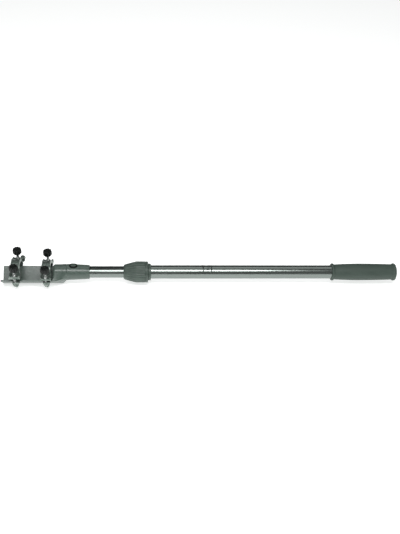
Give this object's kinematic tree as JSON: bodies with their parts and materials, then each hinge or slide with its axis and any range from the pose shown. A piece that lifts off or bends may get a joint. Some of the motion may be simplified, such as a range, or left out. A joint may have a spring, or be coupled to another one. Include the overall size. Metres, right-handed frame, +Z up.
{
  "type": "telescopic tiller extension handle",
  "caption": "Telescopic pole with a V saddle and two screw clamps for an outboard tiller, a fluted twist lock and a rubber grip.",
  "frame": {"origin": "where the pole's axis meets the flat end wall of the saddle", "axes": "+X along the pole towards the rubber grip, +Z up out of the open saddle, the near clamp screws at -Y"},
  "size_m": [0.7282, 0.0682, 0.0596],
  "materials": {
    "casting": "satin",
    "clamp_metal": "satin",
    "steel": "satin",
    "tube": "satin",
    "lock_plastic": "matte",
    "knob_plastic": "gloss",
    "grip_rubber": "matte",
    "nylon": "matte"
  },
  "bodies": {
    "pole": {"outer_tube": "tube", "tube_end_plug": "nylon", "lock_bush": "lock_plastic", "collet_ring": "nylon", "grip_sleeve": "grip_rubber"},
    "lock_collar": {"lock_collar": "lock_plastic"},
    "tube_guide": {"glide_bush": "nylon"},
    "head": {"head_casting": "casting", "button_bezel": "knob_plastic", "spring_seat": "nylon", "button_spring": "steel", "inner_tube": "tube"},
    "snap_button": {"snap_button": "lock_plastic"},
    "clamp_front": {"yoke_front": "clamp_metal", "washer_front_near": "steel", "washer_front_far": "steel"},
    "clamp_rear": {"yoke_rear": "clamp_metal", "washer_rear_near": "steel", "washer_rear_far": "steel"},
    "screw_front_near": {"knob_front_near": "knob_plastic", "stud_front_near": "steel"},
    "screw_front_far": {"knob_front_far": "knob_plastic", "stud_front_far": "steel"},
    "screw_rear_near": {"knob_rear_near": "knob_plastic", "stud_rear_near": "steel"},
    "screw_rear_far": {"knob_rear_far": "knob_plastic", "stud_rear_far": "steel"},
    "jaw_front_near": {"jaw_front_near": "clamp_metal"},
    "jaw_front_far": {"jaw_front_far": "clamp_metal"},
    "jaw_rear_near": {"jaw_rear_near": "clamp_metal"},
    "jaw_rear_far": {"jaw_rear_far": "clamp_metal"}
  },
  "joints": [
    {"name": "collar_twist", "type": "hinge", "parent": "pole", "child": "lock_collar", "pos_m": [0.15, 0, 0], "axis": [1, 0, 0], "range_deg": [0, 120]},
    {"name": "telescope", "type": "slide", "parent": "pole", "child": "tube_guide", "axis": [-1, 0, 0], "range_m": [-0.058, 0.286]},
    {"name": "tube_turn", "type": "hinge", "parent": "tube_guide", "child": "head", "pos_m": [0.3, 0, 0], "axis": [1, 0, 0], "continuous": true},
    {"name": "button_press", "type": "slide", "parent": "head", "child": "snap_button", "axis": [0, 0, -1], "range_m": [0, 0.0025], "stiffness_N_per_m": 400, "springref_m": -0.004, "deforming": ["button_spring"]},
    {"name": "clamp_front_slide", "type": "slide", "parent": "head", "child": "clamp_front", "axis": [1, 0, 0], "range_m": [-0.012, 0.014]},
    {"name": "clamp_rear_slide", "type": "slide", "parent": "head", "child": "clamp_rear", "axis": [1, 0, 0], "range_m": [-0.014, 0]},
    {"name": "screw_front_near_turn", "type": "hinge", "parent": "clamp_front", "child": "screw_front_near", "pos_m": [-0.0666, -0.026, 0], "axis": [0, 0, 1], "range_deg": [0, 1801]},
    {"name": "screw_front_far_turn", "type": "hinge", "parent": "clamp_front", "child": "screw_front_far", "pos_m": [-0.0666, 0.026, 0], "axis": [0, 0, 1], "range_deg": [0, 1801]},
    {"name": "screw_rear_near_turn", "type": "hinge", "parent": "clamp_rear", "child": "screw_rear_near", "pos_m": [-0.0115, -0.026, 0], "axis": [0, 0, 1], "range_deg": [0, 1801]},
    {"name": "screw_rear_far_turn", "type": "hinge", "parent": "clamp_rear", "child": "screw_rear_far", "pos_m": [-0.0115, 0.026, 0], "axis": [0, 0, 1], "range_deg": [0, 1801]},
    {"name": "jaw_front_near_travel", "type": "slide", "parent": "clamp_front", "child": "jaw_front_near", "axis": [0, 0, -1], "range_m": [0, 0.005]},
    {"name": "jaw_front_far_travel", "type": "slide", "parent": "clamp_front", "child": "jaw_front_far", "axis": [0, 0, -1], "range_m": [0, 0.005]},
    {"name": "jaw_rear_near_travel", "type": "slide", "parent": "clamp_rear", "child": "jaw_rear_near", "axis": [0, 0, -1], "range_m": [0, 0.005]},
    {"name": "jaw_rear_far_travel", "type": "slide", "parent": "clamp_rear", "child": "jaw_rear_far", "axis": [0, 0, -1], "range_m": [0, 0.005]}
  ],
  "couplings": [
    {"joint": "screw_front_near_turn", "follows": "jaw_front_near_travel", "rad_per_m": 6283.2},
    {"joint": "screw_front_far_turn", "follows": "jaw_front_far_travel", "rad_per_m": 6283.2},
    {"joint": "screw_rear_near_turn", "follows": "jaw_rear_near_travel", "rad_per_m": 6283.2},
    {"joint": "screw_rear_far_turn", "follows": "jaw_rear_far_travel", "rad_per_m": 6283.2}
  ]
}
